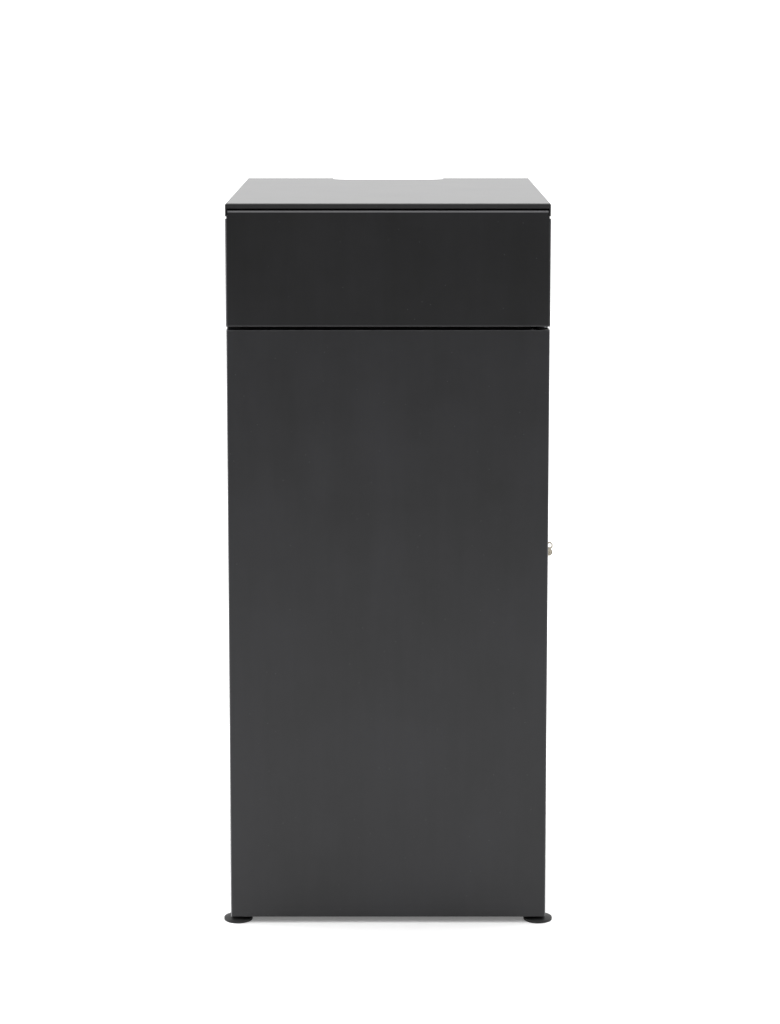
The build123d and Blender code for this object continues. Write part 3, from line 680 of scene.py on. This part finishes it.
# %%
# Mat
RIB_HEIGHT = 1.5 * MM
RIB_WIDTH = 6 * MM
mat_low, mat_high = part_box("platform_mat")
RIB_PITCH = 24 * MM
mat = start_block("platform_mat_rubber", mat_low, (mat_high.x, mat_high.y, mat_high.z - RIB_HEIGHT))
trim = mat.modifiers.new("moulded_edge", "BEVEL")
trim.width = 0.8 * MM
trim.segments = 2
bpy.ops.object.modifier_apply(modifier=trim.name)
rib_count = int((mat_high.y - mat_low.y) / RIB_PITCH)
first_rib = mat_low.y + RIB_PITCH / 2
rib = start_block("rib", (mat_low.x + 4 * MM, first_rib - RIB_WIDTH / 2, mat_high.z - 1.8 * RIB_HEIGHT),
                  (mat_high.x - 4 * MM, first_rib + RIB_WIDTH / 2, mat_high.z))
shoulder = rib.modifiers.new("shoulder", "BEVEL")
shoulder.width = 0.7 * MM
shoulder.segments = 3
bpy.ops.object.modifier_apply(modifier=shoulder.name)
row = rib.modifiers.new("row", "ARRAY")
row.use_relative_offset = False
row.use_constant_offset = True
row.constant_offset_displace = (0, RIB_PITCH, 0)
row.count = rib_count
bpy.ops.object.modifier_apply(modifier=row.name)
bpy.ops.object.select_all(action="DESELECT")
rib.select_set(True)
mat.select_set(True)
bpy.context.view_layer.objects.active = mat
bpy.ops.object.join()
bpy.ops.object.shade_smooth_by_angle(angle=math.radians(40))
finish_piece(mat, black_rubber, "platform_mat", "platform")

# %% [markdown]
# ### Levelling feet
#
# Each foot is a moulded nylon disc with a rounded rim, a shallow cone up to its hub and a socket for
# the threaded stem. A disc is extruded ring by ring up that profile, then in and down for the
# socket. One is modelled, and the other three are copies with their own meshes.

# %%
# Foot pads
pad_low, pad_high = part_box("foot_pad_front_left")
PAD_R = (pad_high.x - pad_low.x) / 2
HUB_R = 8 * MM
STEM_R = 4.0 * MM
pad_centre = (pad_low + pad_high) / 2
bpy.ops.object.select_all(action="DESELECT")
bpy.ops.mesh.primitive_circle_add(vertices=72, radius=PAD_R - 0.8 * MM, fill_type="NGON",
                                  location=(pad_centre.x, pad_centre.y, pad_low.z))
pad = bpy.context.object
pad.name = "foot_disc_front_left"
bpy.ops.object.transform_apply(location=True, rotation=True, scale=True)
bpy.ops.object.mode_set(mode="EDIT")
bpy.ops.mesh.select_all(action="SELECT")
ring_r = PAD_R - 0.8 * MM
ring_z = pad_low.z
rings = ((PAD_R - 0.3 * MM, 0.25 * MM), (PAD_R, 0.8 * MM), (PAD_R, 2.9 * MM), (PAD_R - 0.45 * MM, 3.9 * MM),
         (PAD_R - 1.5 * MM, 4.3 * MM), (HUB_R + 1 * MM, 6.95 * MM), (HUB_R, 7.2 * MM),
         (STEM_R, 7.2 * MM), (STEM_R, 3 * MM))
for next_r, next_z in rings:
    bpy.ops.mesh.extrude_region_move(TRANSFORM_OT_translate={"value": (0, 0, pad_low.z + next_z - ring_z)})
    grow = next_r / ring_r
    bpy.ops.transform.resize(value=(grow, grow, 1), center_override=(pad_centre.x, pad_centre.y, 0))
    ring_r = next_r
    ring_z = pad_low.z + next_z
bpy.ops.mesh.select_all(action="SELECT")
bpy.ops.mesh.normals_make_consistent(inside=False)
bpy.ops.object.mode_set(mode="OBJECT")
bpy.ops.object.shade_smooth_by_angle(angle=math.radians(35))
finish_piece(pad, glide_plastic, "foot_pad_front_left", "foot_front_left")
for place in ("front_right", "rear_left", "rear_right"):
    copy = pad.copy()
    copy.data = pad.data.copy()
    copy.name = f"foot_disc_{place}"
    bpy.context.collection.objects.link(copy)
    there_low, there_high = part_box(f"foot_pad_{place}")
    copy.parent = None
    copy.location = (there_low + there_high) / 2 - pad_centre
    bpy.ops.object.select_all(action="DESELECT")
    copy.select_set(True)
    bpy.context.view_layer.objects.active = copy
    bpy.ops.object.transform_apply(location=True, rotation=True, scale=True)
    finish_piece(copy, glide_plastic, f"foot_pad_{place}", f"foot_{place}")

# %% [markdown]
# ## Lift springs
#
# Two extension springs hold up the book platform and stretch as it sinks under its load. Each is a
# close-wound coil of 1.6 mm wire, drawn out into a loop at each end. A curve with a round bevel
# gives the wire, and its points come from the formula of a helix.

# %%
# Lift springs
spring_low, spring_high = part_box("lift_springs")
WIRE = 1.6 * MM
TURNS = 58
STEPS_PER_TURN = 14
coil_r = (spring_high.y - spring_low.y) / 2 - WIRE / 2
coil_y = (spring_low.y + spring_high.y) / 2
spring_x = spring_high.x - (spring_high.y - spring_low.y) / 2


def wound_spring(name, x):
    """One extension spring, upright, with its ends closed by half loops across the axis."""
    curve = bpy.data.curves.new(name, "CURVE")
    curve.dimensions = "3D"
    curve.bevel_depth = WIRE / 2
    curve.bevel_resolution = 2
    curve.use_fill_caps = True
    coil = curve.splines.new("POLY")
    count = TURNS * STEPS_PER_TURN
    low = spring_low.z + 6 * MM
    high = spring_high.z - 6 * MM
    places = [Vector((x, coil_y, spring_low.z + WIRE))]
    for i in range(count + 1):
        turn = 2 * math.pi * i / STEPS_PER_TURN
        rise = low + (high - low) * i / count
        places.append(Vector((x + coil_r * math.cos(turn), coil_y + coil_r * math.sin(turn), rise)))
    places.append(Vector((x, coil_y, spring_high.z - WIRE)))
    coil.points.add(len(places) - 1)
    for point, place in zip(coil.points, places):
        point.co = (*place, 1)
    wire = bpy.data.objects.new(name, curve)
    bpy.context.collection.objects.link(wire)
    bpy.ops.object.select_all(action="DESELECT")
    wire.select_set(True)
    bpy.context.view_layer.objects.active = wire
    bpy.ops.object.convert(target="MESH")
    wire = bpy.context.object
    bpy.ops.object.shade_smooth()
    wire.data.materials.clear()
    wire.data.materials.append(ground_steel)
    return wire


for side_name, side in (("left", -1), ("right", 1)):
    spring = wound_spring(f"lift_spring_{side_name}", side * spring_x)
    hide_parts("lift_springs")
    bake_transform(spring)
    print(spring.name, len(spring.data.polygons), "faces")
